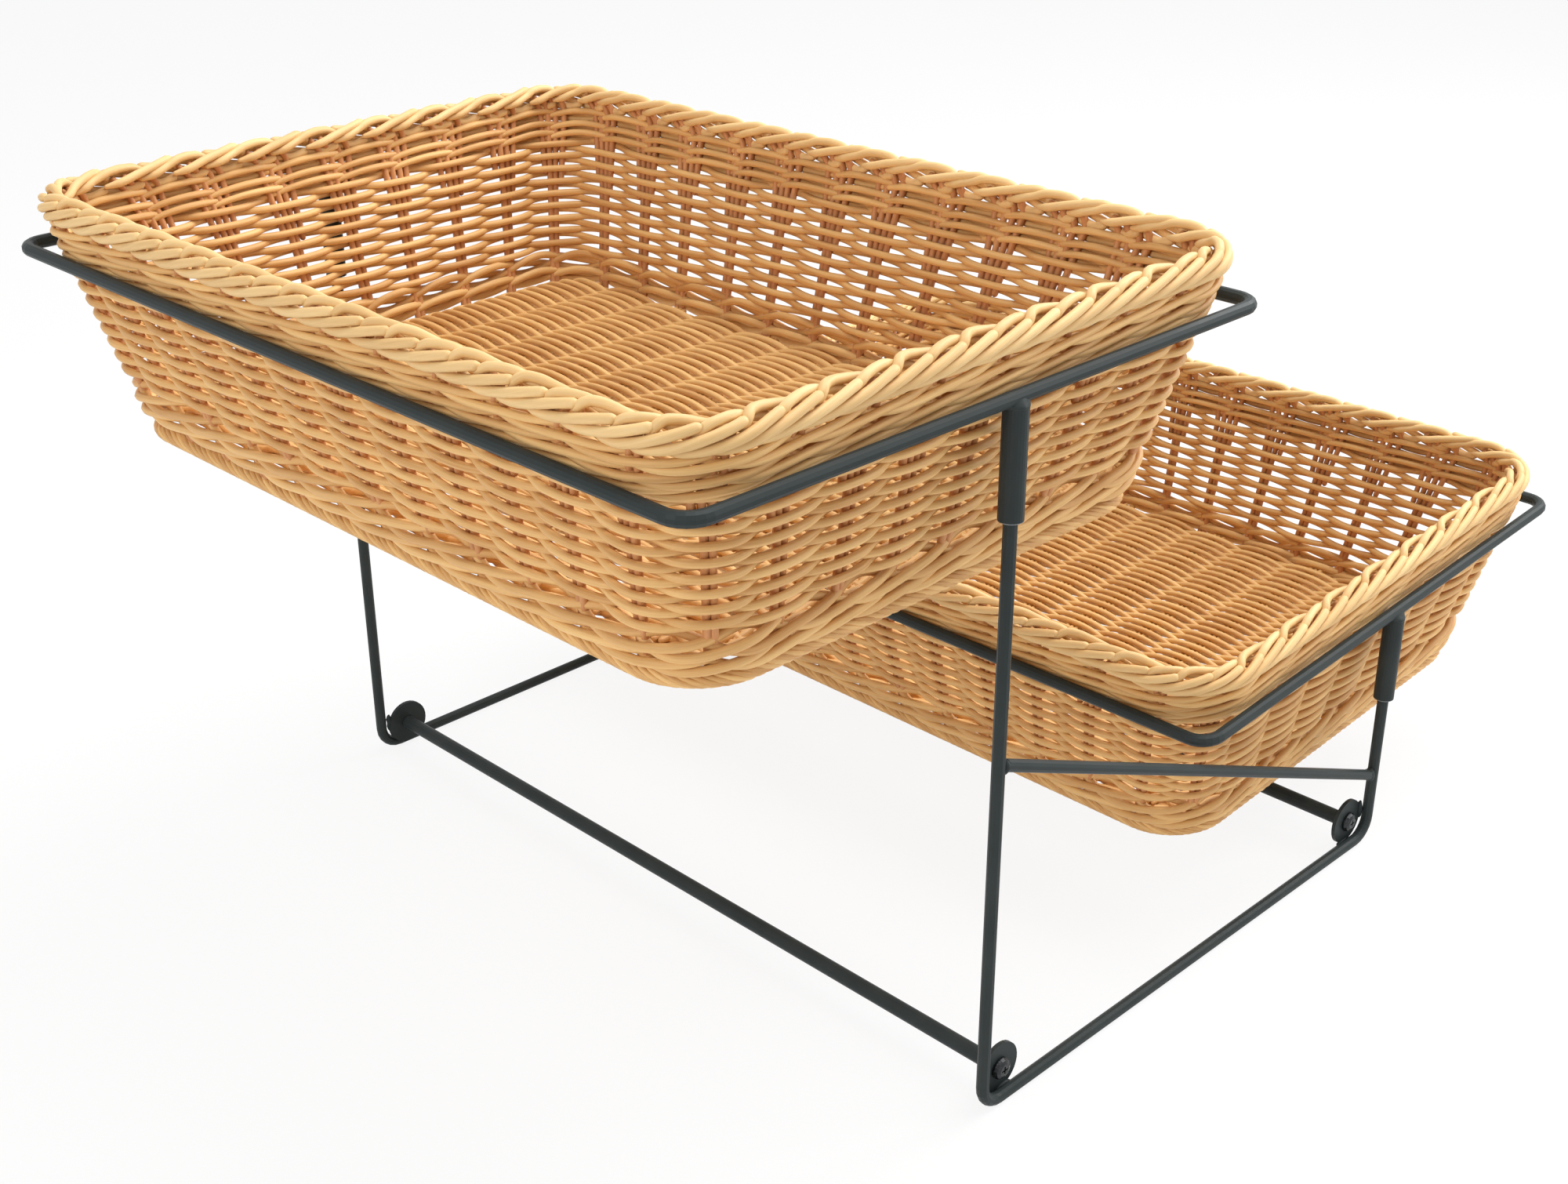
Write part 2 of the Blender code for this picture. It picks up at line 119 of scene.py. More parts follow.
def add_weld(name, body, beads, material, seed):
    """Weld metal as closed skins over rings, each ring a centre and its two half axes."""
    rng = np.random.default_rng(seed)
    angle = np.arange(WELD_SIDES) * math.tau / WELD_SIDES
    verts, faces = [], []
    for rings in beads:
        first = len(verts)
        for centre, across, up in rings:
            rough = rng.normal(0, 1, WELD_SIDES) * WELD_ROUGHNESS / max(across.length, up.length)
            for turn, grow in zip(angle, 1 + rough):
                verts.append(centre + (across * math.cos(turn) + up * math.sin(turn)) * grow)
        for n in range(len(rings) - 1):
            for k in range(WELD_SIDES):
                a, b = first + n * WELD_SIDES + k, first + n * WELD_SIDES + (k + 1) % WELD_SIDES
                faces.append((a, b, b + WELD_SIDES, a + WELD_SIDES))
        last = first + (len(rings) - 1) * WELD_SIDES
        faces.append(tuple(range(first + WELD_SIDES - 1, first - 1, -1)))
        faces.append(tuple(range(last, last + WELD_SIDES)))
    mesh = bpy.data.meshes.new(name)
    mesh.from_pydata(verts, [], faces)
    mesh.polygons.foreach_set("use_smooth", np.ones(len(faces), bool))
    mesh.materials.append(material)
    piece = bpy.data.objects.new(name, mesh)
    bpy.context.scene.collection.objects.link(piece)
    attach(piece, body)
    return piece


def brace_beads(x):
    """A fillet round each end of a brace, where it meets an upright."""
    tall, low = (Vector((x, *BRACE_ENDS[end])) for end in ("tall", "low"))
    slope = (tall.z - low.z) / (tall.y - low.y)
    beads = []
    for end, way in ((tall, -1), (low, 1)):
        rings = []
        for off, wide, high in BRACE_FILLET:
            y = way * (WIRE_RADIUS + off)
            rings.append((end + Vector((0, y, y * slope)), Vector((way * wide, 0, 0)),
                          Vector((0, 0, high))))
        beads.append(rings)
    return beads


for side in ("left", "right"):
    low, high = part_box(f"{side}_brace")
    add_weld(f"{side}_brace_welds", "frame", brace_beads((low.x + high.x) / 2), powder_coat, 3)

# Cross bars and corner discs. A bar butts between two discs at the front and
# at the back, and each disc is welded inside a lower bend of the side wires.
# They are coated with the side wires.
finish_nodes(powder_coat, "front_cross_bar", "rear_cross_bar", "front_left_disc",
             "front_right_disc", "rear_left_disc", "rear_right_disc")

DISC_WELD_LENGTH = 0.011
DISC_WELD_RADIUS = 0.0015
DISC_WELD_OFFSET = 0.003


def bead_along(middle, way, length, radius):
    """A short run of weld metal, thick in its middle."""
    side = way.orthogonal().normalized() * radius
    rings = []
    for share in (-1.0, -0.8, -0.4, 0.0, 0.4, 0.8, 1.0):
        grow = math.sqrt(1.04 - share * share)
        rings.append((middle + way * share * length / 2, side * grow, way.cross(side) * grow))
    return rings


def disc_beads(name):
    """Weld runs in the corners between a disc's face edge, the runner and the upright."""
    low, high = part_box(f"{name}_disc")
    towards_wire = 1 if low.x > 0 else -1
    face = (high.x if low.x > 0 else low.x) + towards_wire * 0.0002
    outward = 1 if low.y > 0 else -1
    middle = (low + high) / 2
    edge = high.y if outward > 0 else low.y
    under = Vector((face, middle.y - outward * DISC_WELD_OFFSET, low.z + 0.0010))
    beside = Vector((face, edge - outward * 0.0008, middle.z + DISC_WELD_OFFSET))
    return [bead_along(under, Vector((0, 1, 0)), DISC_WELD_LENGTH, DISC_WELD_RADIUS),
            bead_along(beside, Vector((0, 0, 1)), DISC_WELD_LENGTH, DISC_WELD_RADIUS)]


for name in ("front_left", "front_right", "rear_left", "rear_right"):
    add_weld(f"{name}_disc_welds", "frame", disc_beads(name), powder_coat, 5)

# Screws. Cross-recess pan heads of black-plated steel, driven through the
# discs into the bars after coating, so they are smoother and glossier.
PLATING_COLOUR = (0.030, 0.032, 0.034)
PLATING_SCUFF_COLOUR = (0.10, 0.10, 0.10)
PLATING_SCUFFS_PER_METRE = 1400
PLATING_SCUFF_RANGE = (0.58, 0.75)


def plating_material():
    """Black plating with a few small scuffs."""
    material, tree, shader, node = new_material("black_plated_steel")
    place = node("ShaderNodeTexCoord").outputs["Object"]
    scuffs = node("ShaderNodeTexNoise", Vector=place, Scale=PLATING_SCUFFS_PER_METRE,
                  Detail=4.0)
    share = node("ShaderNodeMapRange", Value=scuffs.outputs["Fac"])
    share.inputs["From Min"].default_value = PLATING_SCUFF_RANGE[0]
    share.inputs["From Max"].default_value = PLATING_SCUFF_RANGE[1]
    tint = node("ShaderNodeMix", {"data_type": "RGBA"}, _0=share.outputs[0],
                _6=(*PLATING_COLOUR, 1), _7=(*PLATING_SCUFF_COLOUR, 1))
    bump = node("ShaderNodeBump", Strength=0.15, Distance=0.00004, Height=scuffs.outputs["Fac"])
    tree.links.new(tint.outputs[2], shader.inputs["Base Color"])
    tree.links.new(bump.outputs[0], shader.inputs["Normal"])
    shader.inputs["Metallic"].default_value = 0.7
    shader.inputs["Roughness"].default_value = 0.25
    return material


screw_plating = plating_material()
finish_nodes(screw_plating, "front_left_screw", "front_right_screw", "rear_left_screw",
             "rear_right_screw")

# Holders. Each is a rectangle of steel wire round a basket, welded on two
# sleeves that slip over the uprights. The sleeves are coated with the wire,
# and their cut lower ends show bare steel.
finish_nodes(powder_coat, "upper_holder_wire", "lower_holder_wire", "upper_left_sleeve",
             "upper_right_sleeve", "lower_left_sleeve", "lower_right_sleeve")

BARE_STEEL_COLOUR = (0.42, 0.43, 0.44)
BARE_STEEL_CUTS_PER_METRE = 2600
SLEEVE_RADIUS = 0.0055
SLEEVE_BORE_RADIUS = 0.0035
SLEEVE_BEAD = ((0.0, 0.0048, 0.0048), (-0.0006, 0.0056, 0.0056), (0.0004, 0.0056, 0.0060),
               (0.0014, 0.0048, 0.0066), (0.0024, 0.0038, 0.0070), (0.0033, 0.0034, 0.0062),
               (0.0041, 0.0030, 0.0048), (0.0048, 0.0019, 0.0026))
BARE_EDGE = 0.0003
BARE_EDGE_SIDES = 48


def bare_steel_material():
    """Steel left bright where a tube was cut, partly dulled by the coat."""
    material, tree, shader, node = new_material("bare_cut_steel")
    place = node("ShaderNodeTexCoord").outputs["Object"]
    cuts = node("ShaderNodeTexNoise", Vector=place, Scale=BARE_STEEL_CUTS_PER_METRE,
                Detail=3.0)
    tint = node("ShaderNodeMix", {"data_type": "RGBA"}, _0=cuts.outputs["Fac"],
                _6=(*BARE_STEEL_COLOUR, 1), _7=(*COAT_WORN_COLOUR, 1))
    tree.links.new(tint.outputs[2], shader.inputs["Base Color"])
    shader.inputs["Metallic"].default_value = 0.8
    shader.inputs["Roughness"].default_value = 0.35
    return material


bare_steel = bare_steel_material()


def sleeve_top_bead(top):
    """The weld between a sleeve's top and the wire over it, drawn out along the wire."""
    return [(top + Vector((0, 0, rise)), Vector((across, 0, 0)), Vector((0, along, 0)))
            for rise, across, along in SLEEVE_BEAD]


def add_cut_end(name, body, foot):
    """The thin ring of bare steel at a sleeve's lower end."""
    outside = SLEEVE_RADIUS + 0.00005
    rings = ((SLEEVE_BORE_RADIUS, 0.0), (SLEEVE_BORE_RADIUS + 0.0001, -BARE_EDGE / 2),
             (SLEEVE_RADIUS - 0.0002, -BARE_EDGE / 2), (outside, 0.0), (outside, BARE_EDGE),
             (SLEEVE_RADIUS - 0.0002, BARE_EDGE))
    sides = np.arange(BARE_EDGE_SIDES)
    angle = sides * math.tau / BARE_EDGE_SIDES
    verts = [foot + Vector((r * math.cos(a), r * math.sin(a), z)) for r, z in rings for a in angle]
    ring = np.arange(len(rings))[:, None] * BARE_EDGE_SIDES
    upper = np.roll(ring, -1, 0)
    beside = np.roll(sides, -1)
    faces = np.stack([ring + sides, ring + beside, upper + beside, upper + sides], -1)
    faces = faces.reshape(-1, 4).tolist()
    mesh = bpy.data.meshes.new(name)
    mesh.from_pydata(verts, [], faces)
    mesh.materials.append(bare_steel)
    piece = bpy.data.objects.new(name, mesh)
    bpy.context.scene.collection.objects.link(piece)
    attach(piece, body)
    return piece


for tier in ("upper", "lower"):
    for side in ("left", "right"):
        low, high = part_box(f"{tier}_{side}_sleeve")
        middle = (low + high) / 2
        add_weld(f"{tier}_{side}_sleeve_weld", f"{tier}_holder",
                 [sleeve_top_bead(Vector((middle.x, middle.y, high.z)))], powder_coat, 7)
        add_cut_end(f"{tier}_{side}_sleeve_cut_end", f"{tier}_holder",
                    Vector((middle.x, middle.y, low.z)))

# Stakes of the two baskets. Bundles of round plastic cane stand in the wall,
# 42 to a basket: two rods from the foot up, joined by two more in the upper
# third. The baskets taper, and wedge in the holders' wires.
TAPER = math.tan(math.radians(14.5))
LOWER_LEAN = math.radians(-4)
RIM_WIDTH = 0.015
rim_low, rim_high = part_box("upper_basket_rim")
RIM_HALF_LONG = (rim_high.x - rim_low.x) / 2
RIM_HALF_SHORT = (rim_high.y - rim_low.y) / 2


def middle_of(name):
    low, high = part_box(name)
    return (low + high) / 2


BASKETS = {
    "upper": Matrix.Translation(middle_of("upper_holder_wire")),
    "lower": Matrix.Translation(middle_of("lower_holder_wire"))
    @ Matrix.Rotation(LOWER_LEAN, 4, "X"),
}
RIM_TOP = rim_high.z - middle_of("upper_holder_wire").z
RIM_MIDDLE = RIM_TOP - RIM_WIDTH / 2
FOOT_BOTTOM = -0.094
RIM_CORNER = 0.040
FOOT_CORNER = 0.036

BUNDLES = 42


def corner_radius(height):
    share = (height - FOOT_BOTTOM) / (RIM_TOP - FOOT_BOTTOM)
    return FOOT_CORNER + (RIM_CORNER - FOOT_CORNER) * share


def straight_halves(height):
    grown = TAPER * (height - RIM_MIDDLE) - corner_radius(height)
    return RIM_HALF_LONG + grown, RIM_HALF_SHORT + grown


long_half, short_half = straight_halves(0.0)
corner_run = math.pi / 2 * corner_radius(0.0)
RUNS = np.array([2 * short_half, corner_run, 2 * long_half, corner_run] * 2)
RUN_ENDS = np.cumsum(RUNS)
AROUND = RUN_ENDS[-1]

FIRST_BUNDLE = 0.015
BUNDLE_STRAY = 0.0014
PLACES = FIRST_BUNDLE + np.arange(BUNDLES) * AROUND / BUNDLES
PLACES = PLACES + np.random.default_rng(7).uniform(-BUNDLE_STRAY, BUNDLE_STRAY, BUNDLES)


def round_at(bundle):
    """Distance round the basket at a bundle number, whole or between two."""
    turns, rest = np.divmod(bundle, BUNDLES)
    numbers = np.arange(-1, BUNDLES + 1)
    places = np.concatenate([[PLACES[-1] - AROUND], PLACES, [PLACES[0] + AROUND]])
    return np.interp(rest, numbers, places) + turns * AROUND


def on_basket(distance, height, inset, shape_height=None):
    """Points on the basket's outline and the way out from it, at a distance round it."""
    distance, height, inset = np.broadcast_arrays(distance, height, inset)
    shape = height if shape_height is None else np.full(height.shape, shape_height)
    distance = np.mod(distance, AROUND)
    run = np.minimum(np.searchsorted(RUN_ENDS, distance, side="right"), 7)
    share = (distance - (RUN_ENDS - RUNS)[run]) / RUNS[run]
    radius = corner_radius(shape) - inset
    half_x, half_y = straight_halves(shape)
    turn = (run // 2) * math.pi / 2 + np.where(run % 2 == 1, share * math.pi / 2, 0.0)
    way = np.stack([np.cos(turn), np.sin(turn), np.zeros_like(turn)], -1)
    slide = 1 - 2 * share
    x = np.choose(run, [half_x, half_x, half_x * slide, -half_x, -half_x, -half_x,
                        -half_x * slide, half_x])
    y = np.choose(run, [-half_y * slide, half_y, half_y, half_y, half_y * slide, -half_y,
                        -half_y, -half_y])
    return np.stack([x, y, height], -1) + way * radius[..., None], way


def unit(vectors):
    return vectors / np.linalg.norm(vectors, axis=-1, keepdims=True)


END_TURNS = np.radians([76, 42])


def add_canes(name, tier, points, facing, thickness, material, sides=8, closed=False, seed=0):
    """Round canes along rows of points, with rounded ends, as one mesh on a basket."""
    rng = np.random.default_rng(seed)
    strands, samples = points.shape[:2]
    if closed:
        ahead = np.roll(points, -1, 1) - np.roll(points, 1, 1)
    else:
        ahead = np.gradient(points, axis=1)
    ahead = unit(ahead)
    across = unit(np.cross(ahead, np.broadcast_to(facing, points.shape)))
    up = np.cross(across, ahead)
    radius = np.broadcast_to(np.asarray(thickness, float) / 2, (strands, samples))
    steps = np.linalg.norm(np.diff(points, axis=1), axis=-1)
    along = np.concatenate([np.zeros((strands, 1)), np.cumsum(steps, 1)], 1)
    if not closed:
        ends = []
        for end, sign in ((0, -1), (-1, 1)):
            tip = radius[:, end, None]
            shift = tip * np.sin(END_TURNS) * sign
            ends.append((points[:, end, None] + ahead[:, end, None] * shift[..., None],
                         tip * np.cos(END_TURNS), along[:, end, None] + shift))
        order = slice(None, None, -1)
        points = np.concatenate([ends[0][0], points, ends[1][0][:, order]], 1)
        radius = np.concatenate([ends[0][1], radius, ends[1][1][:, order]], 1)
        along = np.concatenate([ends[0][2], along, ends[1][2][:, order]], 1)
        pad = ((0, 0), (2, 2), (0, 0))
        across, up = np.pad(across, pad, "edge"), np.pad(up, pad, "edge")
        samples += 4
    angle = np.arange(sides) * math.tau / sides
    rings = (across[:, :, None] * np.cos(angle)[:, None] + up[:, :, None] * np.sin(angle)[:, None])
    verts = points[:, :, None] + rings * radius[..., None, None]
    index = np.arange(strands * samples * sides).reshape(strands, samples, sides)
    step = np.roll(index, -1, 1) if closed else index[:, 1:]
    first = index if closed else index[:, :-1]
    quads = np.stack([first, np.roll(first, -1, 2), np.roll(step, -1, 2), step], -1).reshape(-1, 4)
    loops, starts = quads.ravel(), np.arange(len(quads)) * 4
    if not closed:
        caps = np.concatenate([index[:, 0, ::-1], index[:, -1]])
        starts = np.concatenate([starts, len(loops) + np.arange(len(caps)) * sides])
        loops = np.concatenate([loops, caps.ravel()])
    mesh = bpy.data.meshes.new(name)
    mesh.vertices.add(verts.size // 3)
    mesh.vertices.foreach_set("co", verts.ravel())
    mesh.loops.add(len(loops))
    mesh.loops.foreach_set("vertex_index", loops.astype(np.int32))
    mesh.polygons.add(len(starts))
    mesh.polygons.foreach_set("loop_start", starts.astype(np.int32))
    mesh.polygons.foreach_set("use_smooth", np.ones(len(starts), bool))
    mesh.update(calc_edges=True)
    mesh.validate()
    own = rng.uniform(0, 1, (strands, 1, 1, 3))
    grain = np.empty(verts.shape)
    grain[..., 0] = radius[..., None] * np.cos(angle)
    grain[..., 1] = radius[..., None] * np.sin(angle)
    grain[..., 2] = along[..., None]
    grain += own
    tone = np.broadcast_to(rng.uniform(0, 1, (strands, 1, 1)), verts.shape[:3])
    mesh.attributes.new("grain", "FLOAT_VECTOR", "POINT").data.foreach_set("vector", grain.ravel())
    mesh.attributes.new("tone", "FLOAT", "POINT").data.foreach_set("value", tone.ravel())
    mesh.materials.append(material)
    piece = bpy.data.objects.new(name, mesh)
    bpy.context.scene.collection.objects.link(piece)
    piece.matrix_world = BASKETS[tier]
    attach(piece, f"{tier}_basket")
    return piece


CANE_LIGHT = (0.84, 0.535, 0.215)
CANE_DEEP = (0.49, 0.225, 0.065)
# The stakes' colours are darker and redder than the weavers'. This is partly the rods' own darker
# tone and partly painted shade for the gaps between the weaver rows.
STAKE_PAINTED_SHADE_PALE = (0.64, 0.31, 0.125)
STAKE_PAINTED_SHADE_DEEP = (0.44, 0.175, 0.060)
CANE_ROUGHNESS = (0.40, 0.62)
CANE_GRAIN_HEIGHT = 0.00016


def cane_material(name, light, deep):
    """Round plastic cane: honey colour, streaked along each strand, with a soft sheen."""
    material, tree, shader, node = new_material(name)
    grain = node("ShaderNodeAttribute", {"attribute_name": "grain"}).outputs["Vector"]
    tone = node("ShaderNodeAttribute", {"attribute_name": "tone"}).outputs["Fac"]

    def streaks(across, along, detail):
        stretched = node("ShaderNodeMapping", Vector=grain, Scale=(across, across, along))
        return node("ShaderNodeTexNoise", Vector=stretched.outputs[0], Scale=1.0,
                    Detail=detail).outputs["Fac"]

    broad = streaks(700.0, 22.0, 3.0)
    fine = streaks(3600.0, 60.0, 2.0)
    patchy = streaks(60.0, 30.0, 2.0)
    share = node("ShaderNodeMath", {"operation": "MULTIPLY_ADD"}, _0=tone, _1=0.45, _2=-0.32)
    for noise, weight in ((broad, 0.75), (patchy, 0.25)):
        share = node("ShaderNodeMath", {"operation": "MULTIPLY_ADD"}, _0=noise, _1=weight,
                     _2=share.outputs[0])
    share = node("ShaderNodeMath", {"operation": "SUBTRACT"}, _0=share.outputs[0], _1=0.25)
    share = node("ShaderNodeMath", {"operation": "MULTIPLY_ADD"}, _0=fine, _1=0.5,
                 _2=share.outputs[0])
    tint = node("ShaderNodeMix", {"data_type": "RGBA"}, _0=share.outputs[0],
                _6=(*light, 1), _7=(*deep, 1))
    gloss = node("ShaderNodeMapRange", Value=fine)
    gloss.inputs["To Min"].default_value = CANE_ROUGHNESS[0]
    gloss.inputs["To Max"].default_value = CANE_ROUGHNESS[1]
    height = node("ShaderNodeMath", {"operation": "MULTIPLY_ADD"}, _0=fine, _1=0.5, _2=broad)
    bump = node("ShaderNodeBump", Strength=0.5, Distance=CANE_GRAIN_HEIGHT,
                Height=height.outputs[0])
    tree.links.new(tint.outputs[2], shader.inputs["Base Color"])
    tree.links.new(gloss.outputs[0], shader.inputs["Roughness"])
    tree.links.new(bump.outputs[0], shader.inputs["Normal"])
    shader.inputs["Specular IOR Level"].default_value = 0.35
    return material


cane = cane_material("honey_cane", CANE_LIGHT, CANE_DEEP)
# Stake cane with painted shade: its darker, redder colour stands in for the shade in the gaps
# between weaver rows.
stake_painted_shade_cane = cane_material("stake_painted_shade_cane", STAKE_PAINTED_SHADE_PALE, STAKE_PAINTED_SHADE_DEEP)

STAKE_THICKNESS = 0.0035
STAKE_INSET = 0.0052
STAKE_TOP = 0.0245
ROD_PLACES = (-1.5, -0.5, 0.5, 1.5)
ROD_PITCH = 0.0035
ROD_PITCH_AT_BORDER = 0.0058
ROD_SPREAD_FROM = -0.020
ROD_SPREAD_RUN = 0.042
ADDED_ROD_FOOT = -0.018
ADDED_ROD_FOOT_STRAY = 0.006
ROD_LEAN = 0.0045
ROD_LEAN_FROM = 0.014
ROD_STEP_IN = 0.0024
ROD_STEP_IN_FROM = 0.013
ROD_BEND_RUN = 0.010
ROD_SAMPLES = 36


def add_stakes(tier, seed):
    """Rods in bundles. Under the border they spread, lean round the rim and step inwards."""
    rng = np.random.default_rng(seed)
    runs = []
    share = np.linspace(0, 1, ROD_SAMPLES)
    for place in ROD_PLACES:
        foot = np.full((BUNDLES, 1), FOOT_BOTTOM + 0.004)
        if abs(place) > 1:
            stray = rng.uniform(-ADDED_ROD_FOOT_STRAY, ADDED_ROD_FOOT_STRAY, (BUNDLES, 1))
            foot = ADDED_ROD_FOOT + stray
        heights = foot + (STAKE_TOP - foot) * share
        spread = np.clip((heights - ROD_SPREAD_FROM) / ROD_SPREAD_RUN, 0, 1)
        pitch = ROD_PITCH + (ROD_PITCH_AT_BORDER - ROD_PITCH) * spread
        lean = ROD_LEAN * np.clip((heights - ROD_LEAN_FROM) / ROD_BEND_RUN, 0, 1) ** 2
        places = PLACES[:, None] + pitch * place + lean + rng.uniform(-0.0004, 0.0004, (BUNDLES, 1))
        step_in = ROD_STEP_IN * np.clip((heights - ROD_STEP_IN_FROM) / ROD_BEND_RUN, 0, 1) ** 2
        inset = STAKE_INSET + step_in + rng.uniform(-0.0003, 0.0003, (BUNDLES, 1))
        runs.append(on_basket(places, heights, inset))
    points = np.concatenate([r[0] for r in runs])
    way = np.concatenate([r[1] for r in runs])
    return add_canes(f"{tier}_basket_stakes", tier, points, way, STAKE_THICKNESS, stake_painted_shade_cane,
                     seed=seed)


for tier in BASKETS:
    add_stakes(tier, 11)

# Wall weavers. Eighteen rows of single cane pass in front of one bundle and
# behind the next, each row the other way from the one below.
WEAVER_THICKNESS = 0.0038
WEAVER_ROWS = 18
WEAVER_PITCH = 0.00355
WEAVER_TOP = -0.0008
WEAVE_LOOSENESS = 0.06
LOOSEST_BUNDLE = 19.5
WEAVE_DEPTH = 0.0032
WEAVER_STEPS = 12
WEAVER_DRIFT = 0.00022
WEAVER_DRIFT_WAVES = (5, 11, 17)
WEAVER_CRISP_FROM = -0.030
WEAVER_CRISP_RUN = 0.020


def loosened(bundle, height):
    """Rows lie a little wider apart towards one corner, as in any hand weaving."""
    loose = WEAVE_LOOSENESS * np.cos(math.tau * (bundle - LOOSEST_BUNDLE) / BUNDLES)
    return height + loose * np.minimum(height - WEAVER_TOP, 0)


def add_wall_weavers(tier, seed):
    """Rows of weaving. The upper ones bend more sharply round the wider bundles."""
    rng = np.random.default_rng(seed)
    bundle = np.arange(BUNDLES * WEAVER_STEPS)[None] / WEAVER_STEPS
    row = np.arange(WEAVER_ROWS)[:, None]
    heights = loosened(bundle, WEAVER_TOP - WEAVER_PITCH * row)
    crisp = 1.0 + 0.5 * np.clip((heights - WEAVER_CRISP_FROM) / WEAVER_CRISP_RUN, 0, 1)
    wave = np.tanh(crisp * np.cos(math.pi * bundle)) / np.tanh(crisp)
    drift = sum(rng.uniform(0, WEAVER_DRIFT, (WEAVER_ROWS, 1))
                * np.sin(math.tau * (n * bundle / BUNDLES + rng.uniform(0, 1, (WEAVER_ROWS, 1))))
                for n in WEAVER_DRIFT_WAVES)
    sign = np.where(row % 2 == 0, 1.0, -1.0)
    points, way = on_basket(round_at(bundle), heights + drift,
                            STAKE_INSET - WEAVE_DEPTH * sign * wave)
    piece = add_canes(f"{tier}_basket_wall_weave", tier, points, way, WEAVER_THICKNESS, cane,
                      closed=True, seed=seed)
    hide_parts(f"{tier}_basket_wall")
    return piece


for tier in BASKETS:
    add_wall_weavers(tier, 23)

# Walings. Rows of three honey canes tie the wall under the border and at the
# foot. Each cane climbs outside two bundles, passes inside the third and drops.
UPPER_WALE_THICKNESS = 0.0036
UPPER_WALE_HEIGHTS = (0.0025, 0.0074, 0.0140)
UPPER_WALE_RISES = (0.0027, 0.0027, 0.0027)
LOWER_WALE_THICKNESS = 0.0043
LOWER_WALE_HEIGHTS = (-0.0768, -0.0690)
LOWER_WALE_RISES = (0.0033, 0.0045)
WALE_LAG = math.radians(60)
WALE_STRANDS = 3
WALE_DWELL = 0.6
WALE_STEPS = 12


def add_waling(name, tier, heights, thickness, rises, seed):
    """Rows of waling. A cane's rise lags behind its way out and in."""
    bundle = np.arange(BUNDLES * WALE_STEPS)[None] / WALE_STEPS
    depth = (STAKE_THICKNESS + thickness) / 2 - 0.0002
    rows = []
    for n, (height, rise) in enumerate(zip(heights, rises)):
        start = np.arange(WALE_STRANDS)[:, None] + n
        climb = math.tau * (bundle - start) / WALE_STRANDS
        turn = climb - WALE_DWELL * np.sin(climb)
        lag = climb - WALE_LAG
        lift = rise * (np.sin(lag) - 0.25 * np.sin(2 * lag))
        rows.append(on_basket(round_at(bundle), loosened(bundle, height) + lift,
                              STAKE_INSET - depth * np.cos(turn)))
    points = np.concatenate([r[0] for r in rows])
    way = np.concatenate([r[1] for r in rows])
    return add_canes(name, tier, points, way, thickness, cane, closed=True, seed=seed)


for tier in BASKETS:
    add_waling(f"{tier}_basket_upper_waling", tier, UPPER_WALE_HEIGHTS, UPPER_WALE_THICKNESS,
               UPPER_WALE_RISES, 31)
    add_waling(f"{tier}_basket_lower_waling", tier, LOWER_WALE_HEIGHTS, LOWER_WALE_THICKNESS,
               LOWER_WALE_RISES, 37)

# Border. The stakes are laid over in pairs: behind the next bundle, then out
# and up round the outside of the rim. Behind their tips, loops of cane cross
# the top: one steeply, the next along it and under the following steep one.
BORDER_THICKNESS = 0.0042
BORDER_RUN = 1.40
BORDER_PAIR_STARTS = (0.0, 0.5)
BORDER_FIRST_TURN = -100
BORDER_LAST_TURN = 50
LOOP_THICKNESS = 0.0042
LOOP_RUN = 1.10
LOOP_SAMPLES = 44
LOOP_EASE = 7
LOOP_PLACES = (0.0, 0.06, 0.14, 0.30, 0.48, 0.62, 0.80, 1.0)
STEEP_TURNS = (44, 60, 88, 112, 130, 146, 172, 194)
STEEP_REACH = (0.45, 0.95, 1.14, 1.10, 0.98, 0.92, 0.90, 0.60)
LONG_TURNS = (44, 56, 70, 86, 102, 120, 160, 194)
LONG_REACH = (0.45, 0.75, 1.00, 1.10, 1.04, 0.72, 0.75, 0.50)
# The border's colours are paler than the wall's. This is painted light, standing in for the strong
# light that falls on the basket's top.
BORDER_PAINTED_LIGHT_PALE = (0.84, 0.585, 0.275)
BORDER_PAINTED_LIGHT_DEEP = (0.64, 0.385, 0.15)
# Border cane with painted light: its paler colour stands in for the light on the rim's top.
border_painted_light_cane = cane_material("border_painted_top_light_cane", BORDER_PAINTED_LIGHT_PALE, BORDER_PAINTED_LIGHT_DEEP)


def round_rim(bundle, turn, reach):
    """Points in the rim's section, at an angle from straight out and a reach from its middle."""
    height = RIM_MIDDLE + reach * np.sin(turn)
    inset = RIM_WIDTH / 2 - reach * np.cos(turn)
    return on_basket(round_at(bundle), height, inset, shape_height=RIM_MIDDLE)


def eased(marks):
    """Values along a loop from its marks, with the corners between them rounded off."""
    soft = np.hanning(LOOP_EASE) / np.hanning(LOOP_EASE).sum()
    past = (LOOP_EASE // 2) / (LOOP_SAMPLES - 1)
    share = np.linspace(-past, 1 + past, LOOP_SAMPLES + LOOP_EASE - 1)
    return np.convolve(np.interp(share, LOOP_PLACES, marks), soft, "valid")[None]


